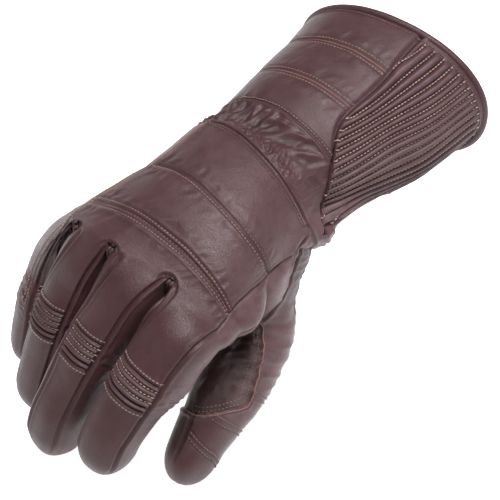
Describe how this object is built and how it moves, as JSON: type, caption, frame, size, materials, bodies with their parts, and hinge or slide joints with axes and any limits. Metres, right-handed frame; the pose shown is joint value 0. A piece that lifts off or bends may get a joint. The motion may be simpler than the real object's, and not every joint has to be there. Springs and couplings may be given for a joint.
{
  "type": "motorcycle gauntlet glove",
  "caption": "Right-hand brown leather gauntlet glove with padded back panels, ribbed stretch panels at the finger joints and cuff, and a rolled cuff binding.",
  "frame": {"origin": "centre of the cuff's opening", "axes": "+Y out of the cuff, away from the fingers; +Z out of the back of the hand; +X towards the thumb's side"},
  "size_m": [0.1353, 0.2582, 0.1282],
  "materials": {
    "leather": "smooth semi-satin dark reddish-brown leather",
    "stretch_leather": "the same leather, sewn in padded ribs",
    "binding": "rolled leather binding",
    "lining": "dark brushed lining",
    "elastic": "woven elastic band"
  },
  "bodies": {
    "cuff": {"cuff_back_upper": "leather", "cuff_back_middle": "leather", "cuff_back_lower": "leather", "cuff_stretch_panel": "stretch_leather", "cuff_palm_panel": "leather", "cuff_lining": "lining", "cuff_binding": "binding", "wrist_gather_back": "leather", "wrist_stretch_point": "stretch_leather", "wrist_gather_palm": "leather", "wrist_elastic": "elastic"},
    "hand": {"hand_back_upper": "leather", "hand_back_middle": "leather", "knuckle_panel": "leather", "ulnar_side_strip": "leather", "radial_side_strip": "leather", "palm_panel": "leather", "hand_lining": "lining", "palm_patch": "leather", "index_root_sleeve": "leather", "middle_root_sleeve": "leather", "ring_root_sleeve": "leather", "little_root_sleeve": "leather", "thumb_root_sleeve": "leather"},
    "index_base": {"index_base_back": "leather", "index_base_palm": "leather", "index_thumbward_side": "leather", "index_outward_side": "leather", "index_rib_panel": "stretch_leather", "index_flex_sleeve": "leather"},
    "index_end": {"index_tip": "leather"},
    "middle_base": {"middle_base_back": "leather", "middle_base_palm": "leather", "middle_thumbward_side": "leather", "middle_outward_side": "leather", "middle_rib_panel": "stretch_leather", "middle_flex_sleeve": "leather"},
    "middle_end": {"middle_tip": "leather"},
    "ring_base": {"ring_base_back": "leather", "ring_base_palm": "leather", "ring_thumbward_side": "leather", "ring_outward_side": "leather", "ring_rib_panel": "stretch_leather", "ring_flex_sleeve": "leather"},
    "ring_end": {"ring_tip": "leather"},
    "little_base": {"little_base_back": "leather", "little_base_palm": "leather", "little_thumbward_side": "leather", "little_outward_side": "leather", "little_rib_panel": "stretch_leather", "little_flex_sleeve": "leather"},
    "little_end": {"little_tip": "leather"},
    "thumb_base": {"thumb_base_back": "leather", "thumb_base_pad": "leather", "thumb_palmward_side": "leather", "thumb_outward_side": "leather", "thumb_flex_sleeve": "leather"},
    "thumb_end": {"thumb_tip": "leather"}
  },
  "joints": [
    {"name": "wrist_bend", "type": "hinge", "parent": "cuff", "child": "hand", "pos_m": [-0.008, -0.081, 0.001], "axis": [1, 0, 0], "range_deg": [-30, 30], "deforming": ["wrist_gather_back", "wrist_stretch_point", "wrist_gather_palm", "wrist_elastic"]},
    {"name": "index_knuckle", "type": "hinge", "parent": "hand", "child": "index_base", "pos_m": [0.02732, -0.17705, 0.00056], "axis": [0.9912, -0.1217, 0.0523], "range_deg": [-30, 14], "deforming": ["index_root_sleeve"]},
    {"name": "index_middle_joint", "type": "hinge", "parent": "index_base", "child": "index_end", "pos_m": [0.02498, -0.20394, -0.01777], "axis": [0.9912, -0.1217, 0.0523], "range_deg": [-10, 26], "deforming": ["index_rib_panel", "index_flex_sleeve"]},
    {"name": "middle_knuckle", "type": "hinge", "parent": "hand", "child": "middle_base", "pos_m": [-0.0054, -0.17726, 0.00144], "axis": [0.994, -0.0957, 0.0523], "range_deg": [-30, 25], "deforming": ["middle_root_sleeve"]},
    {"name": "middle_middle_joint", "type": "hinge", "parent": "middle_base", "child": "middle_end", "pos_m": [-0.00684, -0.20492, -0.02178], "axis": [0.994, -0.0957, 0.0523], "range_deg": [-10, 40], "deforming": ["middle_rib_panel", "middle_flex_sleeve"]},
    {"name": "ring_knuckle", "type": "hinge", "parent": "hand", "child": "ring_base", "pos_m": [-0.03576, -0.17706, -0.00555], "axis": [0.9985, 0.0174, 0.0523], "range_deg": [-30, 25], "deforming": ["ring_root_sleeve"]},
    {"name": "ring_middle_joint", "type": "hinge", "parent": "ring_base", "child": "ring_end", "pos_m": [-0.03412, -0.20011, -0.02907], "axis": [0.9985, 0.0174, 0.0523], "range_deg": [-10, 40], "deforming": ["ring_rib_panel", "ring_flex_sleeve"]},
    {"name": "little_knuckle", "type": "hinge", "parent": "hand", "child": "little_base", "pos_m": [-0.06413, -0.16707, -0.03029], "axis": [0.998, 0.0349, 0.0523], "range_deg": [-30, 25], "deforming": ["little_root_sleeve"]},
    {"name": "little_middle_joint", "type": "hinge", "parent": "little_base", "child": "little_end", "pos_m": [-0.06234, -0.18741, -0.05088], "axis": [0.998, 0.0349, 0.0523], "range_deg": [-10, 40], "deforming": ["little_rib_panel", "little_flex_sleeve"]},
    {"name": "thumb_root_bend", "type": "hinge", "parent": "hand", "child": "thumb_base", "pos_m": [0.02864, -0.1226, -0.02694], "axis": [-0.3591, -0.6267, 0.6916], "range_deg": [-10, 25], "deforming": ["thumb_root_sleeve"]},
    {"name": "thumb_tip_bend", "type": "hinge", "parent": "thumb_base", "child": "thumb_end", "pos_m": [0.03871, -0.16301, -0.04812], "axis": [-0.4099, -0.4229, 0.8082], "range_deg": [-25, 20], "deforming": ["thumb_flex_sleeve"]}
  ]
}
